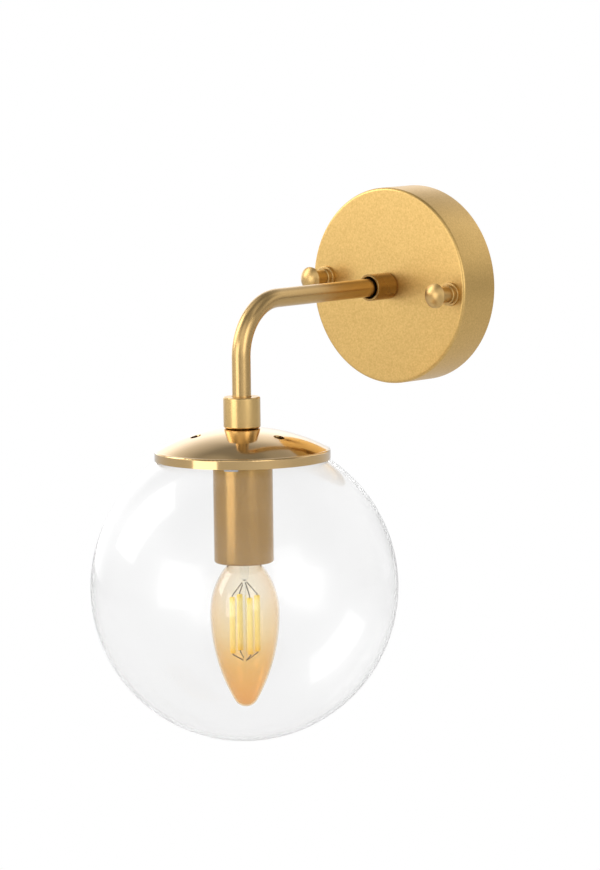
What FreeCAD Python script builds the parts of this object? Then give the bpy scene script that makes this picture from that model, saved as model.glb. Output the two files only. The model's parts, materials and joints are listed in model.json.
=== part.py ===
"""Wall sconce with a clear glass globe hung from a bent arm, as a parametric document.

Millimetres. The origin is the point of the wall on the arm's axis: +Y goes into the wall,
the lamp stands out towards -Y, and +Z is up. Turned pieces on the wall side share the arm's
axis (Y), and turned pieces under the arm share the stem's axis (Z at y = -arm_reach).
"""
import FreeCAD, Part
import math
import os
import re
import Sketcher

# Driving dimensions, each a size that can be set by itself.
SIZES = {
    # canopy, the cup against the wall
    "canopy_radius": 51.0,
    "canopy_depth": 25.0,
    "canopy_wall": 1.2,
    "canopy_edge": 1.6,
    "canopy_turn": 3.5,
    # strap on the wall behind the canopy
    "strap_gap": 2.3,
    "strap_width": 20.0,
    "strap_thickness": 1.5,
    "strap_land": 9.0,
    "strap_bend_run": 4.0,
    "strap_raise": 3.6,
    "strap_corner": 5.0,
    "wall_screw_offset": 27.5,
    "wall_screw_radius": 2.6,
    "cable_hole_radius": 6.5,
    "earth_screw_offset": 16.0,
    "earth_screw_radius": 1.95,
    "earth_head_radius": 3.9,
    "earth_head_height": 2.6,
    "earth_washer_radius": 4.4,
    "earth_washer_thickness": 0.8,
    # studs and their nuts
    "stud_inset": 5.5,
    "stud_radius": 1.95,
    "stud_head_radius": 3.6,
    "stud_head_height": 2.4,
    "stud_reach": 10.0,
    "lock_nut_across": 7.0,
    "lock_nut_height": 3.2,
    "thumb_washer_radius": 6.1,
    "thumb_washer_thickness": 1.6,
    "thumb_foot_radius": 5.0,
    "thumb_foot_length": 2.1,
    "thumb_neck_radius": 4.1,
    "thumb_head_radius": 6.35,
    "thumb_head_reach": 11.4,
    "thumb_head_edge": 0.7,
    "thumb_dome": 2.7,
    "thumb_bore_depth": 11.0,
    # clearances
    "thread_gap": 0.05,
    "hole_gap": 0.25,
    "seat_gap": 0.05,
    # terminal block on the strap
    "block_offset": 15.0,
    "block_width": 15.0,
    "block_height": 16.0,
    "block_depth": 11.5,
    "block_corner": 1.2,
    "pole_pitch": 8.2,
    "pole_depth": 6.5,
    "clamp_radius": 2.2,
    "clamp_wall": 0.7,
    "clamp_screw_spread": 4.0,
    "clamp_screw_radius": 1.2,
    "block_screw_radius": 1.45,
    "block_screw_head": 2.7,
    "block_screw_head_height": 1.8,
    # arm, collar and threaded nipples
    "arm_reach": 140.3,
    "bend_radius": 28.0,
    "tube_radius": 4.75,
    "small_thread_radius": 3.95,
    "small_nipple_bore": 2.6,
    "large_thread_radius": 4.95,
    "large_nipple_bore": 3.4,
    "nipple_grip": 10.0,
    "nipple_reach": 9.8,
    "collar_radius": 6.9,
    "collar_wall": 1.2,
    "collar_length": 15.4,
    "collar_floor": 2.0,
    "collar_edge": 0.25,
    "collar_chamfer": 0.6,
    "wall_nut_across": 12.0,
    "wall_nut_height": 4.0,
    "lock_washer_radius": 7.2,
    "lock_washer_thickness": 0.8,
    # coupler on the stem
    "stem_drop": 47.6,
    "coupler_radius": 9.3,
    "coupler_length": 15.6,
    "coupler_recess": 4.0,
    "coupler_recess_gap": 0.35,
    "coupler_chamfer": 0.5,
    "coupler_round": 0.9,
    "large_thread_depth": 7.0,
    # dome over the glass
    "rim_radius": 44.2,
    "dome_rise": 11.0,
    "dome_wall": 1.0,
    "shoulder_radius": 1.0,
    "band_height": 5.05,
    "vent_offset": 24.5,
    "vent_radius": 2.75,
    # spring, seal and globe
    "spring_disc_radius": 15.5,
    "spring_thickness": 0.6,
    "spring_width": 7.0,
    "finger_clearance": 1.4,
    "finger_bulge": 1.6,
    "finger_tail": 6.0,
    "seal_section": 1.1,
    "seal_gap": 0.25,
    "globe_radius": 77.5,
    "glass_wall": 1.8,
    "glass_opening": 30.0,
    "rim_gap": 1.2,
    # tube over the lampholder
    "cover_radius": 15.0,
    "cover_wall": 0.9,
    "cover_length": 65.3,
    "cover_top_round": 1.5,
    "cover_lip_round": 1.3,
    "cover_lip_radius": 12.6,
    "holder_nut_across": 14.0,
    "holder_nut_height": 3.0,
    # lampholder
    "holder_radius": 13.2,
    "holder_wall": 1.3,
    "holder_collar_radius": 8.0,
    "holder_collar_depth": 9.5,
    "holder_cap_height": 19.5,
    "holder_web": 14.0,
    "holder_mouth_radius": 9.4,
    "holder_mouth_depth": 5.6,
    "holder_lift": 1.2,
    "terminal_offset": 7.6,
    "terminal_radius": 2.5,
    "terminal_height": 8.0,
    "terminal_screw_radius": 1.2,
    "shell_radius": 7.1,
    "shell_wall": 0.45,
    "shell_length": 17.0,
    "contact_radius": 4.6,
    "contact_drop": 1.8,
    # candle bulb
    "bulb_cap_radius": 6.9,
    "bulb_cap_wall": 0.4,
    "bulb_cap_length": 16.4,
    "bulb_skirt_radius": 8.6,
    "bulb_skirt_length": 4.2,
    "bulb_insulator_height": 3.4,
    "bulb_insulator_top": 3.4,
    "bulb_button_radius": 2.3,
    "bulb_button_height": 1.3,
    "bulb_radius": 17.5,
    "bulb_glass_wall": 0.8,
    "bulb_neck_radius": 8.0,
    "bulb_neck_curve": 38.0,
    "bulb_tip_radius": 6.5,
    "bulb_tip_drop": 48.0,
    "bulb_swell_drop": 27.3,
    "mast_radius": 0.9,
    "mast_flare_radius": 6.6,
    "mast_flare_height": 11.0,
    "mast_length": 52.5,
    "filament_radius": 1.45,
    "filament_length": 28.7,
    "filament_spread": 6.7,
    "filament_start": 18.9,
    "filament_turn": 64.0,
    "lead_radius": 0.3,
    # wires
    "wire_radius": 1.0,
    "wire_spread": 1.15,
    "wire_rise": 12.0,
    "wire_entry": 3.0,
    "earth_wire_radius": 1.1,
    "earth_tag_thickness": 0.8,
    "tag_lap": 1.0,
    "earth_wire_drop": 18.0,
}

# Places and sizes worked out from the driving dimensions.
FORMULAS = {
    "canopy_inside": "canopy_wall - canopy_depth",
    "strap_length": "2*(canopy_radius - canopy_wall - strap_gap)",
    "stud_offset": "strap_length/2 - stud_inset",
    "strap_flat": "stud_offset - strap_land",
    "strap_front": "-(strap_raise + strap_thickness)",
    "strap_bend_slip": "strap_thickness*tan(atan(strap_raise/strap_bend_run)/2)",
    "stud_hole": "stud_radius + hole_gap",
    "small_hole": "small_thread_radius + hole_gap",
    "large_hole": "large_thread_radius + hole_gap",
    "small_thread": "small_thread_radius + thread_gap",
    "large_thread": "large_thread_radius + thread_gap",
    "thumb_seat": "-(canopy_depth + thumb_washer_thickness)",
    "tube_start": "-(canopy_depth + collar_floor)",
    "tube_end": "-(stem_drop + coupler_recess)",
    "seat_z": "-(stem_drop + coupler_length)",
    "dome_meet_radius": "rim_radius - shoulder_radius",
    "dome_sphere": "(dome_meet_radius^2 + dome_rise^2)/(2*dome_rise)",
    "dome_apex": "seat_z + dome_sphere - sqrt(dome_sphere^2 - large_hole^2)",
    "dome_centre": "dome_apex - dome_sphere",
    "dome_meet_z": "dome_apex - dome_rise",
    "rim_z": "dome_meet_z - band_height",
    "dome_inner_sphere": "dome_sphere - dome_wall",
    "band_inner_radius": "rim_radius - dome_wall",
    "globe_centre": "rim_z - rim_gap - sqrt(globe_radius^2 - rim_radius^2)",
    "globe_inner": "globe_radius - glass_wall",
    "glass_edge_z": "globe_centre + sqrt(globe_inner^2 - glass_opening^2)",
    "spring_top": "dome_centre + sqrt(dome_inner_sphere^2 - spring_disc_radius^2) - seat_gap",
    "finger_radius": "glass_opening - finger_clearance",
    "finger_top": "dome_centre + sqrt(dome_inner_sphere^2 - finger_radius^2) - 8*seat_gap",
    "finger_start": "glass_edge_z - hole_gap + finger_clearance",
    "finger_bulge_z": "glass_edge_z - hole_gap - finger_bulge",
    "seal_radius": "band_inner_radius - seal_section - 2*seat_gap",
    "seal_z": "globe_centre + sqrt((globe_radius + seal_section + seal_gap)^2 - seal_radius^2)",
    "cover_top": "spring_top - spring_thickness",
    "cover_bottom": "cover_top - cover_length",
    "holder_top": "cover_top - cover_wall - holder_nut_height - 8*seat_gap",
    "cap_bottom": "holder_top - holder_cap_height",
    "holder_bottom": "cover_bottom + cover_wall + holder_lift",
    "web_top": "cap_bottom + holder_wall",
    "web_bottom": "web_top - holder_web",
    "holder_bore": "shell_radius + shell_wall + seat_gap",
    "nipple_bottom": "holder_top - holder_collar_depth",
    "contact_tip": "web_bottom - contact_drop",
    "button_top": "contact_tip - seat_gap",
    "button_bottom": "button_top - bulb_button_height",
    "shell_top": "button_bottom - bulb_insulator_height",
    "skirt_top": "shell_top - bulb_cap_length",
    "skirt_bottom": "skirt_top - bulb_skirt_length",
    "bulb_swell_z": "skirt_bottom - bulb_swell_drop",
    "bulb_neck_centre": "bulb_radius - bulb_neck_curve",
    "tip_centre_z": "bulb_swell_z - bulb_tip_drop + bulb_tip_radius",
    "tip_centre_drop": "bulb_tip_drop - bulb_tip_radius",
    "bulb_long_curve": "(tip_centre_drop^2 + bulb_radius^2 - bulb_tip_radius^2)"
                       "/(2*(bulb_radius - bulb_tip_radius))",
    "tip_share": "(bulb_long_curve - bulb_radius)/(bulb_long_curve - bulb_tip_radius)",
    "tip_fall": "tip_centre_drop/(bulb_long_curve - bulb_tip_radius)",
    "filament_top": "skirt_bottom - filament_start",
    "filament_bottom": "filament_top - filament_length",
}

SIZE_NAMES = re.compile(r"[A-Za-z_]\w*")
UNIT_Z = FreeCAD.Vector(0, 0, 1)


def bound(text):
    """A formula on named sizes as the sheet's own expression."""
    def put(match):
        word = match.group(0)
        if word in FORMULAS:
            return "(" + bound(FORMULAS[word]) + ")"
        return "Sizes." + word if word in SIZES else word
    return SIZE_NAMES.sub(put, text)


def value(text):
    """What a formula on named sizes comes to, in millimetres or degrees."""
    return float(sheet.evalExpression(bound(text)))


def make_sheet(doc):
    """The sheet of driving dimensions, one named cell each."""
    cells = doc.addObject("Spreadsheet::Sheet", "Sizes")
    for row, (name, number) in enumerate(SIZES.items(), start=1):
        cells.set(f"A{row}", name)
        cells.set(f"B{row}", str(number))
        cells.setAlias(f"B{row}", name)
    doc.recompute()
    return cells


# --- sketches -----------------------------------------------------------------------------

def new_body(name):
    """An empty body that carries the node's name."""
    body = doc.addObject("PartDesign::Body", name)
    body.Label = name
    body.AllowCompound = True
    return body


def new_sketch(body, role, name):
    """A sketch on one of the body's own origin planes."""
    sketch = body.newObject("Sketcher::SketchObject", name)
    plane = [item for item in body.Origin.OriginFeatures if item.Role == role][0]
    sketch.AttachmentSupport = (plane, [""])
    sketch.MapMode = "FlatFace"
    return sketch


def pin(sketch, geometry, point, across, along):
    """Holds a sketch point at a place given by two formulas; "0" puts it on the axis."""
    for kind, axis, text in (("DistanceX", -2, across), ("DistanceY", -1, along)):
        if text == "0":
            sketch.addConstraint(Sketcher.Constraint("PointOnObject", geometry, point, axis))
            continue
        index = sketch.addConstraint(
            Sketcher.Constraint(kind, -1, 1, geometry, point, value(text)))
        sketch.setExpression(f"Constraints[{index}]", bound(text))


def hold_radius(sketch, geometry, text):
    """Binds the radius of a circle or an arc to a formula."""
    index = sketch.addConstraint(Sketcher.Constraint("Radius", geometry, value(text)))
    sketch.setExpression(f"Constraints[{index}]", bound(text))


def arc_between(start, end, radius, turn):
    """The short arc from start to end; turn is 1 anticlockwise and -1 clockwise."""
    half = (end - start) * 0.5
    rise = math.sqrt(max(radius ** 2 - half.Length ** 2, 0.0))
    side = FreeCAD.Vector(-half.y, half.x, 0).normalize() * (rise * turn)
    centre = start + half + side
    first, last = (start, end) if turn > 0 else (end, start)
    angles = [math.atan2(p.y - centre.y, p.x - centre.x) for p in (first, last)]
    if angles[1] < angles[0]:
        angles[1] += 2 * math.pi
    return Part.ArcOfCircle(Part.Circle(centre, UNIT_Z, radius), angles[0], angles[1])


def draw_outline(sketch, corners):
    """A closed outline. A corner is (x, y), or (x, y, radius, turn) where an arc leaves it."""
    first = sketch.GeometryCount
    points = [FreeCAD.Vector(value(corner[0]), value(corner[1]), 0) for corner in corners]
    ends = []
    for index, corner in enumerate(corners):
        start, end = points[index], points[(index + 1) % len(points)]
        if len(corner) == 2:
            sketch.addGeometry(Part.LineSegment(start, end))
            ends.append((1, 2))
        else:
            sketch.addGeometry(arc_between(start, end, value(corner[2]), corner[3]))
            ends.append((1, 2) if corner[3] > 0 else (2, 1))
    for index, corner in enumerate(corners):
        here, after = first + index, first + (index + 1) % len(corners)
        sketch.addConstraint(Sketcher.Constraint(
            "Coincident", here, ends[index][1], after, ends[(index + 1) % len(corners)][0]))
    for index, corner in enumerate(corners):
        pin(sketch, first + index, ends[index][0], corner[0], corner[1])
        if len(corner) > 2:
            hold_radius(sketch, first + index, corner[2])


def draw_circle(sketch, across, along, radius):
    """A circle held by its centre and its radius."""
    centre = FreeCAD.Vector(value(across), value(along), 0)
    index = sketch.addGeometry(Part.Circle(centre, UNIT_Z, value(radius)))
    pin(sketch, index, 3, across, along)
    hold_radius(sketch, index, radius)


def hexagon(across):
    """Corners of a hexagon with this size across its flats."""
    reach = f"({across})/(2*cos(30))"
    return [(f"{reach}*cos({angle})", f"{reach}*sin({angle})") for angle in range(30, 390, 60)]


# --- features -----------------------------------------------------------------------------

def turned(name, outline, plane="XZ_Plane"):
    """A turned piece: the outline goes round the sketch's upright axis."""
    body = new_body(name)
    section = new_sketch(body, plane, name + "_section")
    draw_outline(section, outline)
    doc.recompute()
    feature = body.newObject("PartDesign::Revolution", name + "_turned")
    feature.Profile = section
    feature.ReferenceAxis = (section, ["V_Axis"])
    feature.Angle = 360
    body.Tip = feature
    doc.recompute()
    return body


def pad(body, section, name, length, both_ways=False):
    """A pad whose length is a formula."""
    feature = body.newObject("PartDesign::Pad", name)
    feature.Profile = section
    feature.setExpression("Length", bound(length))
    feature.SideType = "Symmetric" if both_ways else "One side"
    body.Tip = feature
    doc.recompute()
    return feature


def cut(body, section, name, depth=None, backwards=False):
    """A pocket: right through both ways, or to a depth given by a formula."""
    before = body.Shape.Volume
    feature = body.newObject("PartDesign::Pocket", name)
    feature.Profile = section
    if depth is None:
        feature.Type = "ThroughAll"
        feature.SideType = "Symmetric"
    else:
        feature.setExpression("Length", bound(depth))
        feature.Reversed = backwards
    body.Tip = feature
    doc.recompute()
    if body.Shape.Volume >= before:
        raise RuntimeError(name + " removes nothing")
    return feature


def around(body, feature, sketch, count):
    """Repeats a feature evenly round its sketch's normal."""
    pattern = body.newObject("PartDesign::PolarPattern", feature.Name + "_ring")
    pattern.Originals = [feature]
    pattern.Axis = (sketch, ["N_Axis"])
    pattern.Angle = 360
    pattern.Occurrences = count
    body.Tip = pattern
    doc.recompute()
    return pattern


def upright_edges(body, reach):
    """Names of the straight edges along Y that lie further than reach to either side."""
    names = []
    for index, edge in enumerate(body.Shape.Edges, start=1):
        straight = edge.Curve.TypeId == "Part::GeomLine"
        if straight and abs(edge.tangentAt(edge.FirstParameter).y) > 0.999:
            if abs(edge.CenterOfMass.x) > reach:
                names.append(f"Edge{index}")
    return names


def round_edges(body, name, edges, radius):
    """Rounds the named edges."""
    solid = body.Tip
    feature = body.newObject("PartDesign::Fillet", name)
    feature.Base = (solid, edges)
    feature.setExpression("Radius", bound(radius))
    body.Tip = feature
    doc.recompute()
    return feature


def hex_nut(name, across, bore, height, plane):
    """A hexagon nut that stands on its sketch plane."""
    body = new_body(name)
    section = new_sketch(body, plane, name + "_section")
    draw_outline(section, hexagon(across))
    draw_circle(section, "0", "0", bore)
    pad(body, section, name + "_pad", height)
    return body


def place(item, x="0", y="0", z="0"):
    """Puts a piece at a place given by formulas."""
    for axis, text in (("x", x), ("y", y), ("z", z)):
        if text != "0":
            item.setExpression(f".Placement.Base.{axis}", bound(text))
    doc.recompute()
    return item


def on_stem(item, z="0"):
    """Puts a piece on the stem's axis."""
    return place(item, y="-arm_reach", z=z)


def turn_with_canopy(item):
    """Turns a piece about the arm's axis as far as the canopy is turned."""
    item.Placement = FreeCAD.Placement(
        item.Placement.Base, FreeCAD.Rotation(FreeCAD.Vector(0, 1, 0), 1))
    item.setExpression(".Placement.Rotation.Angle", bound("canopy_turn"))
    doc.recompute()
    return item


def group(name, pieces):
    """Alike pieces that share a node, as separate solids."""
    item = doc.addObject("Part::Compound", name)
    item.Label = name
    item.Links = pieces
    doc.recompute()
    return item


def mirrored_pair(name, piece, normal=FreeCAD.Vector(1, 0, 0)):
    """A piece and its mirror image as one node."""
    twin = doc.addObject("Part::Mirroring", name + "_twin")
    twin.Source = piece
    twin.Normal = normal
    doc.recompute()
    return group(name, [piece, twin])


def plain_feature(name, shape):
    """A node whose shape is made directly."""
    item = doc.addObject("Part::Feature", name)
    item.Label = name
    item.Shape = shape
    return item


# --- on the wall --------------------------------------------------------------------------

def wall_strap():
    """The steel strap: flat on the wall in the middle, raised at its ends over the stud heads."""
    body = new_body("wall_bracket")
    side = new_sketch(body, "XY_Plane", "strap_side")
    half, flat, bend = "strap_length/2", "strap_flat", "strap_flat + strap_bend_run"
    draw_outline(side, [
        (f"-{half}", "-strap_raise"), (f"-({bend})", "-strap_raise"), (f"-{flat}", "0"),
        (flat, "0"), (bend, "-strap_raise"), (half, "-strap_raise"),
        (half, "strap_front"), (f"{bend} - strap_bend_slip", "strap_front"),
        (f"{flat} - strap_bend_slip", "-strap_thickness"),
        (f"strap_bend_slip - {flat}", "-strap_thickness"),
        (f"strap_bend_slip - ({bend})", "strap_front"), (f"-{half}", "strap_front"),
    ])
    pad(body, side, "strap_pad", "strap_width", both_ways=True)
    holes = new_sketch(body, "XZ_Plane", "strap_holes")
    draw_circle(holes, "0", "0", "cable_hole_radius")
    draw_circle(holes, "earth_screw_offset", "0", "earth_screw_radius + thread_gap")
    draw_circle(holes, "-block_offset", "0", "block_screw_radius + thread_gap")
    for sign in ("", "-"):
        draw_circle(holes, sign + "wall_screw_offset", "0", "wall_screw_radius")
        draw_circle(holes, sign + "stud_offset", "0", "stud_hole")
    cut(body, holes, "strap_hole_cut")
    reach = value("strap_length")/2 - value("strap_thickness")
    round_edges(body, "strap_corners", upright_edges(body, reach), "strap_corner")
    return turn_with_canopy(body)


def studs():
    """Two threaded studs, their heads behind the strap's raised ends."""
    stud = turned("bracket_stud", [
        ("0", "stud_head_height - strap_raise"),
        ("0", "-(canopy_depth + stud_reach)"),
        ("stud_radius - 0.4", "-(canopy_depth + stud_reach)"),
        ("stud_radius", "-(canopy_depth + stud_reach - 0.4)"),
        ("stud_radius", "-strap_raise"),
        ("stud_head_radius", "-strap_raise"),
        ("stud_head_radius", "stud_head_height - strap_raise"),
    ], "XY_Plane")
    place(stud, x="stud_offset")
    return turn_with_canopy(mirrored_pair("bracket_studs", stud))


def stud_nuts():
    """Two hexagon nuts that lock the studs to the strap."""
    nut = hex_nut("stud_lock_nut", "lock_nut_across", "stud_radius + thread_gap",
                  "lock_nut_height", "XZ_Plane")
    place(nut, x="stud_offset", y="strap_front")
    return turn_with_canopy(mirrored_pair("stud_lock_nuts", nut))


def earth_screw():
    """The pan-head earth screw, tapped into the strap."""
    seat = "-(strap_thickness + earth_washer_thickness + earth_tag_thickness)"
    body = turned("earth_screw", [
        ("0", "-0.1"), ("0", f"{seat} - earth_head_height"),
        ("earth_head_radius - 1.2", f"{seat} - earth_head_height", "1.2", 1),
        ("earth_head_radius", f"{seat} - earth_head_height + 1.2"),
        ("earth_head_radius", seat), ("earth_screw_radius", seat), ("earth_screw_radius", "-0.1"),
    ], "XY_Plane")
    slot = new_sketch(body, "XZ_Plane", "earth_slot")
    draw_outline(slot, [("-4.5", "-0.5"), ("4.5", "-0.5"), ("4.5", "0.5"), ("-4.5", "0.5")])
    slot.AttachmentOffset = FreeCAD.Placement(FreeCAD.Vector(), FreeCAD.Rotation())
    slot.setExpression(".AttachmentOffset.Base.z", bound(f"-({seat}) + earth_head_height"))
    doc.recompute()
    cut(body, slot, "earth_slot_cut", "1.1")
    return on_strap(body, "earth_screw_offset")


def on_strap(body, offset):
    """Puts a piece on the strap's line, turned with it."""
    return place(body, x=f"({offset})*cos(canopy_turn)", z=f"-({offset})*sin(canopy_turn)")


def earth_washer():
    """The washer between the earth wire's ring tag and the strap."""
    body = turned("earth_washer", [
        ("earth_screw_radius + thread_gap", "-strap_thickness"),
        ("earth_washer_radius", "-strap_thickness"),
        ("earth_washer_radius", "-(strap_thickness + earth_washer_thickness)"),
        ("earth_screw_radius + thread_gap", "-(strap_thickness + earth_washer_thickness)"),
    ], "XY_Plane")
    return on_strap(body, "earth_screw_offset")


POLES = ("-(block_offset + pole_pitch/2)", "-(block_offset - pole_pitch/2)")
POLE_Y = "-(strap_thickness + pole_depth)"


def terminal_block():
    """The two-pole terminal block: a moulded body with a wire passage for each pole."""
    body = new_body("terminal_block")
    face = new_sketch(body, "XZ_Plane", "block_face")
    left, right = "-(block_offset + block_width/2)", "-(block_offset - block_width/2)"
    draw_outline(face, [(left, "-block_height/2"), (right, "-block_height/2"),
                        (right, "block_height/2"), (left, "block_height/2")])
    pad(body, face, "block_pad", "strap_thickness + block_depth")
    round_edges(body, "block_corners", upright_edges(body, 0), "block_corner")
    base = new_sketch(body, "XZ_Plane", "block_base")
    draw_outline(base, [("-(block_offset + block_width)", "-block_height"),
                        ("-(block_offset - block_width)", "-block_height"),
                        ("-(block_offset - block_width)", "block_height"),
                        ("-(block_offset + block_width)", "block_height")])
    cut(body, base, "block_base_cut", "strap_thickness", backwards=True)
    passages = new_sketch(body, "XY_Plane", "block_passages")
    for pole in POLES:
        draw_circle(passages, pole, POLE_Y, "clamp_radius + thread_gap")
    cut(body, passages, "block_passage_cut")
    screws = new_sketch(body, "XZ_Plane", "block_screw_holes")
    draw_circle(screws, "-block_offset", "0", "block_screw_radius + thread_gap")
    cut(body, screws, "block_screw_hole_cut")
    wells = new_sketch(body, "XZ_Plane", "block_wells")
    for pole in POLES:
        for side in ("", "-"):
            draw_circle(wells, pole, side + "clamp_screw_spread", "clamp_screw_radius + hole_gap")
    wells.setExpression(".AttachmentOffset.Base.z", bound("strap_thickness + block_depth"))
    doc.recompute()
    cut(body, wells, "block_well_cut", "block_depth - pole_depth")
    return turn_with_canopy(body)


def clamp_tubes():
    """The two brass clamp tubes in the block's passages."""
    tubes = []
    for index, pole in enumerate(POLES):
        body = new_body(f"clamp_tube_{index}")
        ring = new_sketch(body, "XY_Plane", f"clamp_ring_{index}")
        draw_circle(ring, "0", "0", "clamp_radius")
        draw_circle(ring, "0", "0", "clamp_radius - clamp_wall")
        pad(body, ring, f"clamp_pad_{index}", "block_height - 2", both_ways=True)
        tubes.append(place(body, x=pole, y=POLE_Y))
    return turn_with_canopy(group("terminal_clamps", tubes))


def clamp_screws():
    """Four slotted clamp screws, two to each pole."""
    screws = []
    for number, (pole, side) in enumerate((p, s) for p in POLES for s in ("", "-")):
        body = turned(f"clamp_screw_{number}", [
            ("0", f"{POLE_Y} - clamp_radius - seat_gap"),
            ("0", "-(strap_thickness + block_depth - 1)"),
            ("clamp_screw_radius", "-(strap_thickness + block_depth - 1)"),
            ("clamp_screw_radius", f"{POLE_Y} - clamp_radius - seat_gap"),
        ], "XY_Plane")
        screws.append(place(body, x=pole, z=side + "clamp_screw_spread"))
    return turn_with_canopy(group("terminal_clamp_screws", screws))


def block_screw():
    """The screw that holds the terminal block to the strap."""
    front = "-(strap_thickness + block_depth)"
    body = turned("terminal_block_screw", [
        ("0", "-0.1"), ("0", f"{front} - block_screw_head_height"),
        ("block_screw_head - 0.6", f"{front} - block_screw_head_height"),
        ("block_screw_head", f"{front} - block_screw_head_height + 0.6"),
        ("block_screw_head", front), ("block_screw_radius", front), ("block_screw_radius", "-0.1"),
    ], "XY_Plane")
    return on_strap(body, "-block_offset")


def canopy():
    """The round cup that hides the strap, open against the wall."""
    body = turned("wall_canopy", [
        ("small_hole", "-canopy_depth"),
        ("canopy_radius - canopy_edge", "-canopy_depth", "canopy_edge", 1),
        ("canopy_radius", "canopy_edge - canopy_depth"),
        ("canopy_radius", "0"),
        ("canopy_radius - canopy_wall", "0"),
        ("canopy_radius - canopy_wall", "canopy_inside"),
        ("small_hole", "canopy_inside"),
    ], "XY_Plane")
    holes = new_sketch(body, "XZ_Plane", "canopy_holes")
    for sign in ("", "-"):
        draw_circle(holes, sign + "stud_offset", "0", "stud_hole")
    cut(body, holes, "canopy_hole_cut")
    return turn_with_canopy(body)


def thumb_washer(side, sign):
    """The loose washer under a thumb nut."""
    body = turned("thumb_washer_" + side, [
        ("stud_hole", "-canopy_depth"),
        ("thumb_washer_radius", "-canopy_depth"),
        ("thumb_washer_radius", "thumb_seat + 0.3"),
        ("thumb_washer_radius - 0.3", "thumb_seat"),
        ("stud_hole", "thumb_seat"),
    ], "XY_Plane")
    return on_strap(body, sign + "stud_offset")


def thumb_nut(side, sign):
    """The blind thumb nut: a foot, a waisted neck and a domed head."""
    head_back = "thumb_seat - thumb_head_reach + thumb_head_edge"
    head_front = "thumb_seat - thumb_head_reach"
    dome = "(thumb_head_radius^2 + thumb_dome^2)/(2*thumb_dome)"
    body = turned("thumb_nut_" + side, [
        ("stud_radius + thread_gap", "thumb_seat"),
        ("thumb_foot_radius", "thumb_seat"),
        ("thumb_foot_radius", "thumb_seat - thumb_foot_length + 0.3"),
        ("thumb_foot_radius - 0.3", "thumb_seat - thumb_foot_length"),
        ("thumb_neck_radius", "thumb_seat - thumb_foot_length"),
        ("thumb_neck_radius", f"{head_back} + 1.6", "1.8", 1),
        ("thumb_head_radius - 0.4", head_back),
        ("thumb_head_radius", f"{head_back} - 0.2"),
        ("thumb_head_radius", head_front, dome, -1),
        ("0", f"{head_front} - thumb_dome"),
        ("0", "thumb_seat - thumb_bore_depth"),
        ("stud_radius + thread_gap", "thumb_seat - thumb_bore_depth"),
    ], "XY_Plane")
    return on_strap(body, sign + "stud_offset")


# --- the arm ------------------------------------------------------------------------------

def collar():
    """The open sleeve round the arm, its floor clamped between arm and canopy."""
    inside = "collar_radius - collar_wall"
    front = "-(canopy_depth + collar_length)"
    return turned("arm_collar", [
        ("small_hole", "-canopy_depth"),
        ("collar_radius - collar_chamfer", "-canopy_depth"),
        ("collar_radius", "-canopy_depth - collar_chamfer"),
        ("collar_radius", f"{front} + collar_edge"),
        ("collar_radius - collar_edge", front),
        (f"{inside} + collar_edge", front),
        (inside, f"{front} + collar_edge"),
        (inside, "tube_start"),
        ("small_hole", "tube_start"),
    ], "XY_Plane")


def wall_nipple():
    """The hollow threaded nipple that carries the arm through the canopy."""
    front, back = "tube_start - nipple_grip", "canopy_inside + nipple_reach"
    return turned("wall_nipple", [
        ("small_nipple_bore", front), ("small_thread_radius", front),
        ("small_thread_radius", back), ("small_nipple_bore", back),
    ], "XY_Plane")


def wall_lock_washer():
    """The toothed washer under the wall nut."""
    body = turned("wall_lock_washer", [
        ("small_hole", "canopy_inside"), ("lock_washer_radius", "canopy_inside"),
        ("lock_washer_radius", "canopy_inside + lock_washer_thickness"),
        ("small_hole", "canopy_inside + lock_washer_thickness"),
    ], "XY_Plane")
    notch = new_sketch(body, "XZ_Plane", "washer_notch")
    draw_outline(notch, [("lock_washer_radius - 1.2", "0"), ("lock_washer_radius + 1", "-1"),
                         ("lock_washer_radius + 1", "1")])
    around(body, cut(body, notch, "washer_notch_cut"), notch, 12)
    return body


def wall_nut():
    """The nut that clamps arm, collar and canopy together."""
    nut = hex_nut("wall_nipple_nut", "wall_nut_across", "small_thread", "wall_nut_height",
                  "XZ_Plane")
    return place(nut, y="canopy_inside + lock_washer_thickness + earth_tag_thickness"
                        " + wall_nut_height")


def arm_tube():
    """The arm: straight out from the wall, round one bend and down the stem."""
    body = new_body("arm_tube")
    path = new_sketch(body, "YZ_Plane", "arm_path")
    start = FreeCAD.Vector(value("tube_start"), 0, 0)
    bend = FreeCAD.Vector(value("bend_radius - arm_reach"), 0, 0)
    drop = FreeCAD.Vector(value("-arm_reach"), value("-bend_radius"), 0)
    end = FreeCAD.Vector(value("-arm_reach"), value("tube_end"), 0)
    path.addGeometry(Part.LineSegment(start, bend))
    path.addGeometry(arc_between(bend, drop, value("bend_radius"), 1))
    path.addGeometry(Part.LineSegment(drop, end))
    path.addConstraint(Sketcher.Constraint("Coincident", 0, 2, 1, 1))
    path.addConstraint(Sketcher.Constraint("Coincident", 1, 2, 2, 1))
    pin(path, 0, 1, "tube_start", "0")
    pin(path, 1, 1, "bend_radius - arm_reach", "0")
    pin(path, 1, 2, "-arm_reach", "-bend_radius")
    hold_radius(path, 1, "bend_radius")
    pin(path, 2, 2, "-arm_reach", "tube_end")
    ring = new_sketch(body, "XZ_Plane", "arm_ring")
    draw_circle(ring, "0", "0", "tube_radius")
    draw_circle(ring, "0", "0", "small_thread")
    ring.setExpression(".AttachmentOffset.Base.z", bound("-tube_start"))
    doc.recompute()
    pipe = body.newObject("PartDesign::AdditivePipe", "arm_sweep")
    pipe.Profile = ring
    pipe.Spine = path
    body.Tip = pipe
    doc.recompute()
    return body


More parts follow.
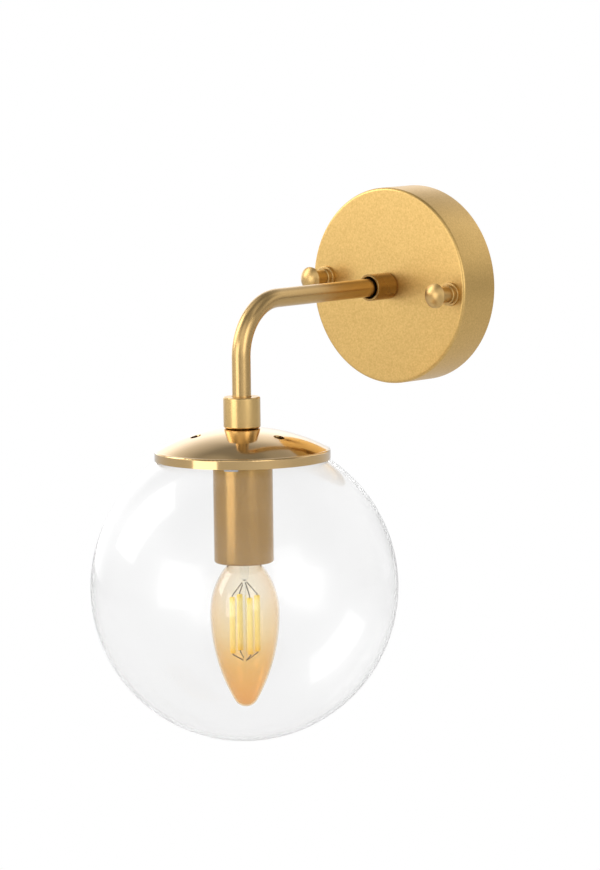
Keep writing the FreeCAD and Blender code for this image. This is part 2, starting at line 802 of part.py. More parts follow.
def stem_nipple():
    """The hollow threaded nipple brazed into the stem's lower end."""
    top, bottom = "tube_end + nipple_grip", "seat_z + large_thread_depth + hole_gap"
    return on_stem(turned("stem_nipple", [
        ("small_nipple_bore", top), ("small_thread_radius", top),
        ("small_thread_radius", bottom), ("small_nipple_bore", bottom),
    ]))


def coupler():
    """The turned coupler that joins the stem to the lampholder's nipple."""
    return on_stem(turned("stem_coupler", [
        ("tube_radius + coupler_recess_gap", "-stem_drop"),
        ("coupler_radius - coupler_chamfer", "-stem_drop"),
        ("coupler_radius", "-stem_drop - coupler_chamfer"),
        ("coupler_radius", "seat_z + coupler_round", "coupler_round", -1),
        ("coupler_radius - coupler_round", "seat_z"),
        ("large_thread", "seat_z"),
        ("large_thread", "seat_z + large_thread_depth"),
        ("small_thread", "seat_z + large_thread_depth"),
        ("small_thread", "tube_end"),
        ("tube_radius + coupler_recess_gap", "tube_end"),
    ]))


def holder_nipple():
    """The hollow nipple from the coupler down into the lampholder."""
    top = "seat_z + large_thread_depth - hole_gap"
    return on_stem(turned("holder_nipple", [
        ("large_nipple_bore", top), ("large_thread_radius", top),
        ("large_thread_radius", "nipple_bottom"), ("large_nipple_bore", "nipple_bottom"),
    ]))


# --- over the glass -----------------------------------------------------------------------

def dome_cap():
    """The spun dome with its upright band and three vent holes."""
    inner_hole_z = "dome_centre + sqrt(dome_inner_sphere^2 - large_hole^2)"
    inner_meet_z = "dome_centre + sqrt(dome_inner_sphere^2 - band_inner_radius^2)"
    body = turned("dome_cap", [
        ("large_hole", "seat_z", "dome_sphere", -1),
        ("dome_meet_radius", "dome_meet_z", "shoulder_radius", -1),
        ("rim_radius", "dome_meet_z - shoulder_radius"),
        ("rim_radius", "rim_z"),
        ("band_inner_radius", "rim_z"),
        ("band_inner_radius", inner_meet_z, "dome_inner_sphere", 1),
        ("large_hole", inner_hole_z),
    ])
    vent = new_sketch(body, "XY_Plane", "dome_vent")
    draw_circle(vent, "vent_offset", "0", "vent_radius")
    around(body, cut(body, vent, "dome_vent_cut"), vent, 3)
    return on_stem(body)


def glass_spring():
    """The spring: a disc under the dome with three fingers that hook inside the glass."""
    edge = "spring_disc_radius"
    body = turned("glass_spring", [
        ("large_hole", "cover_top"), (edge, "cover_top"), (edge, "spring_top"),
        ("large_hole", "spring_top"),
    ])
    finger = new_sketch(body, "XZ_Plane", "spring_finger")
    thin = "spring_thickness"
    draw_outline(finger, [
        (f"-({edge} - 3)", "spring_top"), (f"-{edge}", "spring_top"),
        ("-finger_radius", "finger_top"), ("-finger_radius", "finger_start"),
        ("-(glass_opening + finger_bulge)", "finger_bulge_z"),
        ("-(finger_radius - 0.4)", "finger_bulge_z - finger_tail"),
        (f"-(finger_radius - 0.4 - {thin})", "finger_bulge_z - finger_tail"),
        (f"-(glass_opening + finger_bulge - 1.5*{thin})", "finger_bulge_z"),
        (f"-(finger_radius - {thin})", f"finger_start - 0.5*{thin}"),
        (f"-(finger_radius - {thin})", f"finger_top - {thin}"),
        (f"-{edge}", "cover_top"), (f"-({edge} - 3)", "cover_top"),
    ])
    feature = pad(body, finger, "spring_finger_pad", "spring_width", both_ways=True)
    pattern = body.newObject("PartDesign::PolarPattern", "spring_finger_ring")
    pattern.Originals = [feature]
    pattern.Axis = (body.Origin.OriginFeatures[2], [""])
    pattern.Angle = 360
    pattern.Occurrences = 3
    body.Tip = pattern
    doc.recompute()
    return on_stem(body)


def seal_ring():
    """The soft ring between the band and the glass."""
    ring = doc.addObject("Part::Torus", "seal_ring")
    ring.Label = "seal_ring"
    ring.setExpression("Radius1", bound("seal_radius"))
    ring.setExpression("Radius2", bound("seal_section"))
    return on_stem(ring, "seal_z")


def globe():
    """The blown glass globe, open at its top."""
    outer_edge = "globe_centre + sqrt(globe_radius^2 - glass_opening^2)"
    return on_stem(turned("globe_glass", [
        ("0", "globe_centre - globe_radius", "globe_radius", 1),
        ("glass_opening", outer_edge),
        ("glass_opening", "glass_edge_z", "globe_inner", -1),
        ("0", "globe_centre - globe_inner"),
    ]))


def socket_cover():
    """The tube over the lampholder, rolled in at its lower edge."""
    inside = "cover_radius - cover_wall"
    return on_stem(turned("socket_cover", [
        ("large_hole", "cover_top"),
        ("cover_radius - cover_top_round", "cover_top", "cover_top_round", -1),
        ("cover_radius", "cover_top - cover_top_round"),
        ("cover_radius", "cover_bottom + cover_lip_round", "cover_lip_round", -1),
        ("cover_radius - cover_lip_round", "cover_bottom"),
        ("cover_lip_radius", "cover_bottom"),
        ("cover_lip_radius", "cover_bottom + cover_wall"),
        (inside, "cover_bottom + cover_wall"),
        (inside, "cover_top - cover_wall"),
        ("large_hole", "cover_top - cover_wall"),
    ]))


def holder_nut():
    """The nut that clamps dome, spring and cover to the coupler."""
    nut = hex_nut("holder_nut", "holder_nut_across", "large_thread", "holder_nut_height",
                  "XY_Plane")
    return on_stem(nut, "cover_top - cover_wall - holder_nut_height - seat_gap")


# --- the lampholder -----------------------------------------------------------------------

def holder_cap():
    """The lampholder's upper shell with its threaded collar."""
    inside = "holder_radius - holder_wall"
    slope = "(holder_radius - holder_collar_radius)"
    return on_stem(turned("holder_cap", [
        ("large_thread", "holder_top"),
        ("holder_collar_radius", "holder_top"),
        ("holder_radius", f"holder_top - {slope}"),
        ("holder_radius", "cap_bottom"),
        (inside, "cap_bottom"),
        (inside, f"holder_top - {slope} - holder_wall"),
        ("holder_collar_radius", "holder_top - 2*holder_wall"),
        ("holder_collar_radius", "nipple_bottom"),
        ("large_thread", "nipple_bottom"),
    ]))


def holder_body():
    """The lampholder's insulating body: a web over the bore that takes the bulb's cap."""
    body = turned("holder_body", [
        ("0", "web_bottom"), ("holder_bore", "web_bottom"),
        ("holder_bore", "holder_bottom + holder_mouth_depth"),
        ("holder_mouth_radius", "holder_bottom + holder_mouth_depth"),
        ("holder_mouth_radius", "holder_bottom"),
        ("holder_radius", "holder_bottom"),
        ("holder_radius", "cap_bottom - seat_gap"),
        ("holder_radius - holder_wall - seat_gap", "cap_bottom - seat_gap"),
        ("holder_radius - holder_wall - seat_gap", "web_top"),
        ("0", "web_top"),
    ])
    wells = new_sketch(body, "XY_Plane", "terminal_wells")
    for sign in ("", "-"):
        draw_circle(wells, sign + "terminal_offset", "0", "terminal_radius + seat_gap")
    wells.setExpression(".AttachmentOffset.Base.z", bound("web_top"))
    doc.recompute()
    cut(body, wells, "terminal_well_cut", "terminal_height + 2")
    return on_stem(body)


def holder_terminals():
    """Two brass terminal posts in the lampholder's web."""
    post = turned("holder_terminal", [
        ("0", "web_top - 2 - terminal_height"), ("terminal_radius", "web_top - 2 - terminal_height"),
        ("terminal_radius", "web_top - 2"),
        ("wire_radius + hole_gap", "web_top - 2"),
        ("wire_radius + hole_gap", "web_top - 2 - wire_entry"),
        ("0", "web_top - 2 - wire_entry"),
    ])
    place(post, x="terminal_offset")
    return on_stem(mirrored_pair("holder_terminals", post))


def shell_contact():
    """The lampholder's brass screw shell."""
    top = "web_bottom - hole_gap"
    return on_stem(turned("holder_shell_contact", [
        ("shell_radius", f"{top} - shell_length"), ("shell_radius + shell_wall", f"{top} - shell_length"),
        ("shell_radius + shell_wall", top), ("shell_radius", top),
    ]))


def centre_contact():
    """The lampholder's springy centre contact."""
    return on_stem(turned("holder_centre_contact", [
        ("0", "web_bottom - seat_gap"), ("0", "contact_tip"),
        ("contact_radius/3", "contact_tip"),
        ("contact_radius/2", "web_bottom - 0.5"),
        ("contact_radius", "web_bottom - 0.5"),
        ("contact_radius", "web_bottom - seat_gap"),
    ]))


# --- the bulb -----------------------------------------------------------------------------

def bulb_button():
    """The bulb's centre contact."""
    return on_stem(turned("bulb_button", [
        ("0", "button_bottom"), ("bulb_button_radius", "button_bottom"),
        ("bulb_button_radius", "button_top - 0.6", "0.6", 1),
        ("bulb_button_radius - 0.6", "button_top"), ("0", "button_top"),
    ]))


def bulb_insulator():
    """The black glass cone round the bulb's centre contact."""
    return on_stem(turned("bulb_insulator", [
        ("0", "shell_top"), ("bulb_cap_radius - bulb_cap_wall", "shell_top"),
        ("bulb_insulator_top", "button_bottom"), ("0", "button_bottom"),
    ]))


def bulb_cap():
    """The bulb's screw cap: a thin shell that flares over the neck of the glass."""
    inside = "bulb_cap_radius - bulb_cap_wall"
    return on_stem(turned("bulb_screw_cap", [
        (inside, "shell_top"), (inside, "skirt_top"),
        ("bulb_skirt_radius - bulb_cap_wall", "skirt_bottom + bulb_skirt_length/2"),
        ("bulb_skirt_radius - bulb_cap_wall", "skirt_bottom"),
        ("bulb_skirt_radius", "skirt_bottom"),
        ("bulb_skirt_radius", "skirt_bottom + bulb_skirt_length/2"),
        ("bulb_cap_radius", "skirt_top"), ("bulb_cap_radius", "shell_top"),
    ]))


def bulb_glass():
    """The candle-shaped envelope, open at its neck inside the cap."""
    thin = "bulb_glass_wall"
    neck_z = "bulb_swell_z + sqrt(bulb_neck_curve^2 - (bulb_neck_radius - bulb_neck_centre)^2)"
    inner_neck_z = ("bulb_swell_z + sqrt((bulb_neck_curve - bulb_glass_wall)^2"
                    " - (bulb_neck_radius - bulb_glass_wall - bulb_neck_centre)^2)")
    top = "skirt_bottom + bulb_skirt_length/2"
    return on_stem(turned("bulb_glass", [
        ("0", "tip_centre_z - bulb_tip_radius", "bulb_tip_radius", 1),
        ("bulb_tip_radius*tip_share", "tip_centre_z - bulb_tip_radius*tip_fall",
         "bulb_long_curve", 1),
        ("bulb_radius", "bulb_swell_z", "bulb_neck_curve", 1),
        ("bulb_neck_radius", neck_z),
        ("bulb_neck_radius", top),
        (f"bulb_neck_radius - {thin}", top),
        (f"bulb_neck_radius - {thin}", inner_neck_z, f"bulb_neck_curve - {thin}", -1),
        (f"bulb_radius - {thin}", "bulb_swell_z", f"bulb_long_curve - {thin}", -1),
        (f"(bulb_tip_radius - {thin})*tip_share",
         f"tip_centre_z - (bulb_tip_radius - {thin})*tip_fall", f"bulb_tip_radius - {thin}", -1),
        ("0", f"tip_centre_z - bulb_tip_radius + {thin}"),
    ]))


def bulb_mast():
    """The glass stem that flares into the neck and carries the filaments."""
    top = "skirt_bottom + bulb_skirt_length/2"
    return on_stem(turned("bulb_mast", [
        ("0", top), ("0", "skirt_bottom - mast_length"),
        ("mast_radius", "skirt_bottom - mast_length"),
        ("mast_radius", "skirt_bottom - mast_flare_height"),
        ("2.2*mast_radius", "skirt_bottom - 0.9*mast_flare_height"),
        ("2.6*mast_radius", "skirt_bottom - 0.3*mast_flare_height"),
        ("mast_flare_radius", "skirt_bottom"),
        ("mast_flare_radius", top),
    ]))


FILAMENTS = [(f"filament_spread*cos(filament_turn + {turn})",
              f"filament_spread*sin(filament_turn + {turn})") for turn in (0, 90, 180, 270)]


def bulb_filaments():
    """Four light-emitting filament sticks round the mast."""
    sticks = []
    for index, (across, along) in enumerate(FILAMENTS):
        stick = doc.addObject("Part::Cylinder", f"filament_{index}")
        stick.setExpression("Radius", bound("filament_radius"))
        stick.setExpression("Height", bound("filament_length"))
        sticks.append(place(stick, x=across, y=along, z="filament_bottom"))
    return on_stem(group("bulb_filaments", sticks))


def rod(start, end, radius):
    """A straight round rod between two points."""
    run = end - start
    return Part.makeCylinder(radius, run.Length, start, run)


def bulb_leads():
    """The bent wires from beside the mast to the filaments' ends."""
    reach = value("arm_reach")
    gap, radius = value("seat_gap"), value("lead_radius")
    rods = []
    for across, along in FILAMENTS:
        x, y = value(across), value(along)
        side = (value("mast_radius") + radius + gap)/math.hypot(x, y)
        for end_z, mast_z in ((value("filament_top") + gap,
                               value("skirt_bottom - mast_flare_height - 1")),
                              (value("filament_bottom") - gap,
                               value("skirt_bottom - mast_length + 1"))):
            inner = FreeCAD.Vector(x*side, y*side - reach, mast_z)
            tip = FreeCAD.Vector(x, y - reach, end_z)
            outer = FreeCAD.Vector(x, y - reach, end_z + math.copysign(0.6, mast_z - end_z))
            lead = rod(inner, outer, radius).fuse(rod(outer, tip, radius))
            rods.append(lead.fuse(Part.makeSphere(radius, outer)))
    return plain_feature("bulb_lead_wires", Part.makeCompound(rods))


# --- wires --------------------------------------------------------------------------------

def route(points, radii):
    """A wire of straight runs joined by tangent arcs, one radius to each inner point."""
    edges, at = [], points[0]
    for index in range(1, len(points) - 1):
        corner, radius = points[index], radii[index - 1]
        into = (corner - points[index - 1]).normalize()
        out = (points[index + 1] - corner).normalize()
        turn = into.getAngle(out)
        setback = radius*math.tan(turn/2)
        first, last = corner - into*setback, corner + out*setback
        inward = (out - into).normalize()
        middle = corner + inward*(radius/math.cos(turn/2) - radius)
        if (first - at).Length > 0.001:
            edges.append(Part.LineSegment(at, first).toShape())
        edges.append(Part.Arc(first, middle, last).toShape())
        at = last
    edges.append(Part.LineSegment(at, points[-1]).toShape())
    return Part.Wire(edges)


def tube_along(path, radius):
    """A round solid swept along a route."""
    start = path.Edges[0]
    ring = Part.Wire(Part.makeCircle(radius, start.valueAt(start.FirstParameter),
                                     start.tangentAt(start.FirstParameter)))
    swept = path.makePipeShell([ring], True, False)
    expected = math.pi*radius**2*path.Length
    if abs(swept.Volume - expected) > 0.01*expected:
        raise RuntimeError("a swept wire has the wrong volume")
    return swept


def lamp_wire(name, sign, pole):
    """A conductor from a lampholder terminal, up the stem and along the arm to its pole."""
    reach, bend = value("arm_reach"), value("bend_radius")
    spread, terminal = sign*value("wire_spread"), sign*value("terminal_offset")
    turn = math.radians(value("canopy_turn"))
    entry_x, entry_y = value(pole), value(POLE_Y)
    entry_top = value("block_height")/2
    pole_x = entry_x*math.cos(turn)
    across = abs(pole_x - spread)/2 - 0.01
    rise = value("wire_rise") + across
    points = [
        FreeCAD.Vector(terminal, -reach, value("web_top - 2 - wire_entry + hole_gap")),
        FreeCAD.Vector(terminal, -reach, value("web_top") + 2.6),
        FreeCAD.Vector(spread, -reach, value("nipple_bottom") - 0.5),
        FreeCAD.Vector(spread, -reach, 0),
        FreeCAD.Vector(spread, entry_y, 0),
        FreeCAD.Vector(spread, entry_y, rise),
        FreeCAD.Vector(pole_x, entry_y, rise),
        FreeCAD.Vector(pole_x, entry_y, entry_top - value("wire_entry")),
    ]
    radii = [2.0, 2.0, bend, 4.2, across, across]
    return plain_feature(name, tube_along(route(points, radii), value("wire_radius")))


def earth_wire():
    """The earth wire from its ring tag on the strap down and over to the tag on the nipple."""
    turn = math.radians(value("canopy_turn"))
    screw = value("earth_screw_offset")
    low = FreeCAD.Vector(screw*math.cos(turn), value("-(strap_thickness + earth_washer_thickness)"),
                         -screw*math.sin(turn))
    high = FreeCAD.Vector(0, value("canopy_inside + lock_washer_thickness"), 0)
    thick, radius = value("earth_tag_thickness"), value("earth_wire_radius")
    low_clear = value("earth_head_radius + tag_lap/2")
    high_clear = value("wall_nut_across/(2*cos(30)) + tag_lap/2")
    lap = value("tag_lap")
    outward = FreeCAD.Vector(0, -1, 0)
    low_ring = ring_tag(low, outward, low_clear + lap, value("earth_screw_radius + thread_gap"),
                        thick)
    high_ring = ring_tag(high, outward*-1, high_clear + lap, value("small_thread"), thick)
    low_y, high_y = low.y - 1.1*radius, high.y + 1.1*radius
    bottom = low.z - value("earth_wire_drop")
    points = [
        FreeCAD.Vector(low.x, low_y, low.z - low_clear),
        FreeCAD.Vector(low.x, low_y, bottom),
        FreeCAD.Vector(low.x/2, (low_y + high_y)/2, bottom - 3),
        FreeCAD.Vector(0, high_y, bottom),
        FreeCAD.Vector(0, high_y, -high_clear),
    ]
    wire = tube_along(route(points, [3.5, 4.0, 3.5]), radius)
    return plain_feature("earth_wire", wire.fuse([low_ring, high_ring]))


def ring_tag(base, axis, outer, inner, thick):
    """A flat ring tag."""
    return Part.makeCylinder(outer, thick, base, axis).cut(
        Part.makeCylinder(inner, thick, base, axis))


# --- the whole sconce ---------------------------------------------------------------------

def make_nodes():
    """Every node of the sconce."""
    nodes = [
        wall_strap(), studs(), stud_nuts(), earth_screw(), earth_washer(),
        terminal_block(), clamp_tubes(), clamp_screws(), block_screw(), canopy(),
        collar(), wall_nipple(), wall_lock_washer(), wall_nut(), arm_tube(), stem_nipple(),
        coupler(), holder_nipple(), dome_cap(), glass_spring(), seal_ring(), globe(),
        socket_cover(), holder_nut(), holder_cap(), holder_body(), holder_terminals(),
        shell_contact(), centre_contact(), bulb_button(), bulb_insulator(), bulb_cap(),
        bulb_glass(), bulb_mast(), bulb_filaments(), bulb_leads(),
        lamp_wire("live_wire", -1, POLES[1]), lamp_wire("neutral_wire", 1, POLES[0]), earth_wire(),
    ]
    for side, sign in (("left", "-"), ("right", "")):
        nodes += [thumb_washer(side, sign), thumb_nut(side, sign)]
    return nodes


def check(nodes):
    """Stops on any failed object or broken shape."""
    doc.recompute()
    for item in doc.Objects:
        if "Invalid" in item.State or "Error" in item.State:
            raise RuntimeError(f"{item.Label} failed: {item.State}")
    for node in nodes:
        if node.Shape.isNull() or not node.Shape.isValid() or node.Shape.Volume <= 0:
            raise RuntimeError(f"{node.Label} has no sound shape")


def export(nodes):
    """Writes each node's shape to its own file."""
    os.makedirs("parts", exist_ok=True)
    for node in nodes:
        node.Shape.exportStep(f"parts/{node.Label}.step")
        box = node.Shape.BoundBox
        print(f"{node.Label:24s} solids {len(node.Shape.Solids):2d} volume {node.Shape.Volume:9.1f}"
              f"  z {box.ZMin:8.2f} {box.ZMax:8.2f}  y {box.YMin:8.2f} {box.YMax:8.2f}")


doc = FreeCAD.newDocument("globe_wall_sconce")
sheet = make_sheet(doc)
pieces = make_nodes()
check(pieces)
export(pieces)
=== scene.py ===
"""Looks for the globe wall sconce: satin and polished gold round a clear glass globe."""
import json
import math

import bmesh
import bpy
from mathutils import Matrix, Vector


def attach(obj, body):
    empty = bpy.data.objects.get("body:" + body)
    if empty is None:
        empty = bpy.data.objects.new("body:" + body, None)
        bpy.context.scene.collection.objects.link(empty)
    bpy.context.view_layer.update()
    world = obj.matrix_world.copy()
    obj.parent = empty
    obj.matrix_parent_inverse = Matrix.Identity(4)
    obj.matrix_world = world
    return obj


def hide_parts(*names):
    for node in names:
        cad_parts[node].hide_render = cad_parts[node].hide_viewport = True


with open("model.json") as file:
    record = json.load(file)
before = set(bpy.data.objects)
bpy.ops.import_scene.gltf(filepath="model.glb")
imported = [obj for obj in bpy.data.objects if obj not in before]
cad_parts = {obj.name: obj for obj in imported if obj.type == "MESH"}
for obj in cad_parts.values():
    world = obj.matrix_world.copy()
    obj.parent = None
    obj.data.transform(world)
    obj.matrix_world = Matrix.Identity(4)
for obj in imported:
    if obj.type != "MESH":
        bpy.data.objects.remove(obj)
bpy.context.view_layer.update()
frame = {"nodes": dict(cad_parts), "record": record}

# Sizes are in millimetres. Depths run outward from the wall, heights up from the arm's axis.
MM = 0.001
ARM_REACH = 140.3
ARM_RADIUS = 4.75
ARM_BORE = 4.0
ARM_START = 27.0
BEND_RADIUS = 28.0
STEM_END = -51.6
CANOPY_FACE = 25.0
CANOPY_TURN = math.radians(3.5)
WASHER_FACE = 26.6
STRAP_REACH = 42.0
THREAD_HOLE = 4.2
BULB_MOUTH = -127.61
BULB_SWELL = -157.01
BULB_TIP = -205.01
STEM = Vector((0, -ARM_REACH*MM, 0))


# --- materials ----------------------------------------------------------------------------

# Nearly all of a noise lies between these two values.
NOISE_LOW, NOISE_HIGH = 0.3, 0.7
# How far a roughness drifts across a piece, as a share of itself.
DRIFT = 0.1
# A soft glass has little gloss of its own and a blurred coat of this weight.
SOFT_GLOSS, SOFT_COAT = 0.15, 0.45
# The heights between which the bulb's amber and the filaments' yellow change.
AMBER_LOW, AMBER_HIGH = -205.0, -130.0
FILAMENT_LOW, FILAMENT_HIGH = -177.3, -148.6

def shader(name):
    """A new material with its Principled shader and its output."""
    material = bpy.data.materials.new(name)
    material.use_nodes = True
    nodes = material.node_tree.nodes
    return material, nodes["Principled BSDF"], nodes["Material Output"]


def join(material, source, target):
    """Links two sockets."""
    material.node_tree.links.new(source, target)


def mottle(material, scale, detail=3.0):
    """A noise socket on the piece's own coordinates."""
    nodes = material.node_tree.nodes
    place = nodes.new("ShaderNodeTexCoord")
    noise = nodes.new("ShaderNodeTexNoise")
    noise.inputs["Scale"].default_value = scale
    noise.inputs["Detail"].default_value = detail
    join(material, place.outputs["Object"], noise.inputs["Vector"])
    return noise.outputs["Fac"]


def spread(material, source, low, high):
    """Stretches a noise socket between two values."""
    scaled = material.node_tree.nodes.new("ShaderNodeMapRange")
    scaled.inputs["From Min"].default_value = NOISE_LOW
    scaled.inputs["From Max"].default_value = NOISE_HIGH
    scaled.inputs["To Min"].default_value = low
    scaled.inputs["To Max"].default_value = high
    join(material, source, scaled.inputs["Value"])
    return scaled.outputs["Result"]


def tint(material, source, dark, light):
    """A colour between two, by a noise socket."""
    ramp = material.node_tree.nodes.new("ShaderNodeValToRGB")
    ramp.color_ramp.elements[0].position = NOISE_LOW
    ramp.color_ramp.elements[1].position = NOISE_HIGH
    ramp.color_ramp.elements[0].color = (*dark, 1)
    ramp.color_ramp.elements[1].color = (*light, 1)
    join(material, source, ramp.inputs["Fac"])
    return ramp.outputs["Color"]


def drifting(material, source, value):
    """A socket that drifts a little above and below a value."""
    return spread(material, source, value*(1 - DRIFT), value*(1 + DRIFT))


def roughen(material, bsdf, source, strength, depth_mm):
    """Bumps the surface by a socket."""
    bump = material.node_tree.nodes.new("ShaderNodeBump")
    bump.inputs["Strength"].default_value = strength
    bump.inputs["Distance"].default_value = depth_mm*MM
    join(material, source, bump.inputs["Height"])
    join(material, bump.outputs["Normal"], bsdf.inputs["Normal"])


def metal(name, dark, light, rough, grain=2200.0, depth=0.02, patch=35.0, fleck=False):
    """A metal with a fine grain, faint patches of colour and a roughness that drifts."""
    material, bsdf, _ = shader(name)
    bsdf.inputs["Metallic"].default_value = 1.0
    cloud = mottle(material, patch)
    specks = mottle(material, grain/2, 2.0) if fleck else cloud
    join(material, tint(material, specks, dark, light), bsdf.inputs["Base Color"])
    join(material, drifting(material, cloud, rough), bsdf.inputs["Roughness"])
    if depth > 0:
        roughen(material, bsdf, mottle(material, grain, 2.0), 0.5, depth)
    return material


def moulded(name, dark, light, rough, grain=900.0, depth=0.03):
    """A moulded plastic or rubber with a fine texture."""
    material, bsdf, _ = shader(name)
    cloud = mottle(material, 60.0)
    join(material, tint(material, cloud, dark, light), bsdf.inputs["Base Color"])
    join(material, drifting(material, cloud, rough), bsdf.inputs["Roughness"])
    roughen(material, bsdf, mottle(material, grain), 0.3, depth)
    return material


def glass(name, colour, shade, ior=1.45, wave=18.0, depth=0.02, soft=0.0):
    """Clear or tinted glass, faintly wavy; lamps reach what is behind it; soft blurs its gloss."""
    material, bsdf, output = shader(name)
    nodes = material.node_tree.nodes
    bsdf.inputs["Base Color"].default_value = (*colour, 1)
    bsdf.inputs["Transmission Weight"].default_value = 1.0
    bsdf.inputs["Roughness"].default_value = 0.0
    bsdf.inputs["IOR"].default_value = ior
    if soft:
        bsdf.inputs["Specular IOR Level"].default_value = SOFT_GLOSS
        bsdf.inputs["Coat Weight"].default_value = SOFT_COAT
        bsdf.inputs["Coat Roughness"].default_value = soft
    roughen(material, bsdf, mottle(material, wave, 1.0), 0.3, depth)
    clear = nodes.new("ShaderNodeBsdfTransparent")
    clear.inputs["Color"].default_value = (*shade, 1)
    path = nodes.new("ShaderNodeLightPath")
    mix = nodes.new("ShaderNodeMixShader")
    join(material, path.outputs["Is Shadow Ray"], mix.inputs["Fac"])
    join(material, bsdf.outputs["BSDF"], mix.inputs[1])
    join(material, clear.outputs["BSDF"], mix.inputs[2])
    join(material, mix.outputs["Shader"], output.inputs["Surface"])
    return material


def upward(material, low, high):
    """A 0 to 1 socket that climbs between two heights of the piece."""
    nodes = material.node_tree.nodes
    place = nodes.new("ShaderNodeTexCoord")
    split = nodes.new("ShaderNodeSeparateXYZ")
    scaled = nodes.new("ShaderNodeMapRange")
    scaled.inputs["From Min"].default_value = low*MM
    scaled.inputs["From Max"].default_value = high*MM
    join(material, place.outputs["Object"], split.inputs["Vector"])
    join(material, split.outputs["Z"], scaled.inputs["Value"])
    return scaled.outputs["Result"]


def shaded(material, source, stops):
    """A colour from a row of (position, colour) stops."""
    ramp = material.node_tree.nodes.new("ShaderNodeValToRGB")
    row = ramp.color_ramp.elements
    row[0].position, row[0].color = stops[0][0], (*stops[0][1], 1)
    row[1].position, row[1].color = stops[-1][0], (*stops[-1][1], 1)
    for position, colour in stops[1:-1]:
        row.new(position).color = (*colour, 1)
    join(material, source, ramp.inputs["Fac"])
    return ramp.outputs["Color"]


def recolour(material, source):
    """Gives the base colour a source of its own."""
    join(material, source, material.node_tree.nodes["Principled BSDF"].inputs["Base Color"])


def painted_deeper_edge(material, source, edge):
    """A colour that goes to a deeper one where the surface turns away from the eye: painted shade
    standing in for the longer path of light through tinted glass there.
    """
    nodes = material.node_tree.nodes
    slant = nodes.new("ShaderNodeLayerWeight")
    slant.inputs["Blend"].default_value = 0.35
    blend = nodes.new("ShaderNodeMixRGB")
    blend.inputs["Color2"].default_value = (*edge, 1)
    join(material, slant.outputs["Facing"], blend.inputs["Fac"])
    join(material, source, blend.inputs["Color1"])
    return blend.outputs["Color"]


def lacquer(material, weight, rough):
    """A clear coat over the base."""
    bsdf = material.node_tree.nodes["Principled BSDF"]
    bsdf.inputs["Coat Weight"].default_value = weight
    bsdf.inputs["Coat Roughness"].default_value = rough
    return material


SATIN_GOLD = metal("satin_gold", (0.575, 0.367, 0.121), (0.69, 0.455, 0.166), 0.36, depth=0.05,
                   fleck=True)
ARM_GOLD = metal("arm_gold", (0.535, 0.353, 0.145), (0.57, 0.383, 0.163), 0.25, depth=0.01,
                 fleck=True)
# The coupler's gold is a lighter copy of the arm's: painted light, for the coupler catches more light
# than the arm.
LIT_COUPLER_GOLD = metal("coupler_gold_painted_light", (0.63, 0.425, 0.17), (0.67, 0.45, 0.186), 0.27, depth=0.01,
                     fleck=True)
NUT_GOLD = metal("nut_gold", (0.53, 0.345, 0.13), (0.57, 0.375, 0.15), 0.34, depth=0.01,
                 fleck=True)
# The collar's gold is a darker copy of the arm's: painted shade, for the collar sits in the arm's
# shade.
SHADED_COLLAR_GOLD = metal("collar_gold_painted_shade", (0.34, 0.205, 0.072), (0.38, 0.23, 0.082), 0.27, depth=0.01,
                    fleck=True)
COVER_GOLD = metal("cover_gold", (0.35, 0.21, 0.073), (0.42, 0.255, 0.09), 0.24, depth=0.04, fleck=True)
POLISHED_GOLD = lacquer(metal("polished_gold", (0.62, 0.415, 0.18), (0.66, 0.445, 0.2), 0.12,
                              depth=0.0), 0.6, 0.04)
CLEAR_GLASS = glass("clear_glass", (0.956, 0.956, 0.956), (0.97, 0.97, 0.97), ior=1.2,
                    depth=0.003, soft=0.24)
BULB_INNER_GLASS = glass("bulb_inner_glass", (0.97, 0.975, 0.97), (0.95, 0.95, 0.95))
AMBER_GLASS = glass("amber_glass", (0.98, 0.72, 0.42), (0.99, 0.93, 0.82), depth=0.0)
AMBER_CLIMB = shaded(AMBER_GLASS, upward(AMBER_GLASS, AMBER_LOW, AMBER_HIGH), (
    (0.0, (0.93, 0.6, 0.23)), (0.3, (0.97, 0.74, 0.4)), (0.5, (0.985, 0.88, 0.66)),
    (0.8, (0.99, 0.955, 0.87))))
# The bulb's glass is painted a deeper amber near its outline, as painted shade for light passing
# through more glass there.
recolour(AMBER_GLASS, painted_deeper_edge(AMBER_GLASS, AMBER_CLIMB, (0.84, 0.56, 0.28)))
FILAMENT_END, FILAMENT_SIDE = (0.98, 0.76, 0.05), (0.99, 0.92, 0.45)
FILAMENT_COAT = moulded("filament_coat", FILAMENT_END, FILAMENT_SIDE, 0.45)
recolour(FILAMENT_COAT, shaded(FILAMENT_COAT, upward(FILAMENT_COAT, FILAMENT_LOW, FILAMENT_HIGH), (
    (0.0, FILAMENT_END), (0.14, FILAMENT_SIDE), (0.86, FILAMENT_SIDE), (1.0, FILAMENT_END))))
LEAD_METAL = metal("lead_metal", (0.16, 0.13, 0.1), (0.3, 0.26, 0.2), 0.4)
CAP_METAL = metal("cap_metal", (0.62, 0.62, 0.64), (0.7, 0.7, 0.71), 0.3)
CAP_INSULATOR = moulded("cap_insulator", (0.015, 0.015, 0.02), (0.03, 0.03, 0.035), 0.15)
ZINC_STEEL = metal("zinc_steel", (0.52, 0.53, 0.56), (0.64, 0.64, 0.66), 0.36, 900.0, 0.03, 90.0)
SPRING_STEEL = metal("spring_steel", (0.4, 0.41, 0.43), (0.5, 0.5, 0.52), 0.25, 1600.0)
BARE_BRASS = metal("bare_brass", (0.62, 0.43, 0.17), (0.72, 0.53, 0.24), 0.28)
HOLDER_PLASTIC = moulded("holder_plastic", (0.012, 0.012, 0.013), (0.022, 0.022, 0.023), 0.4)
BLOCK_PLASTIC = moulded("block_plastic", (0.72, 0.71, 0.67), (0.8, 0.79, 0.75), 0.4)
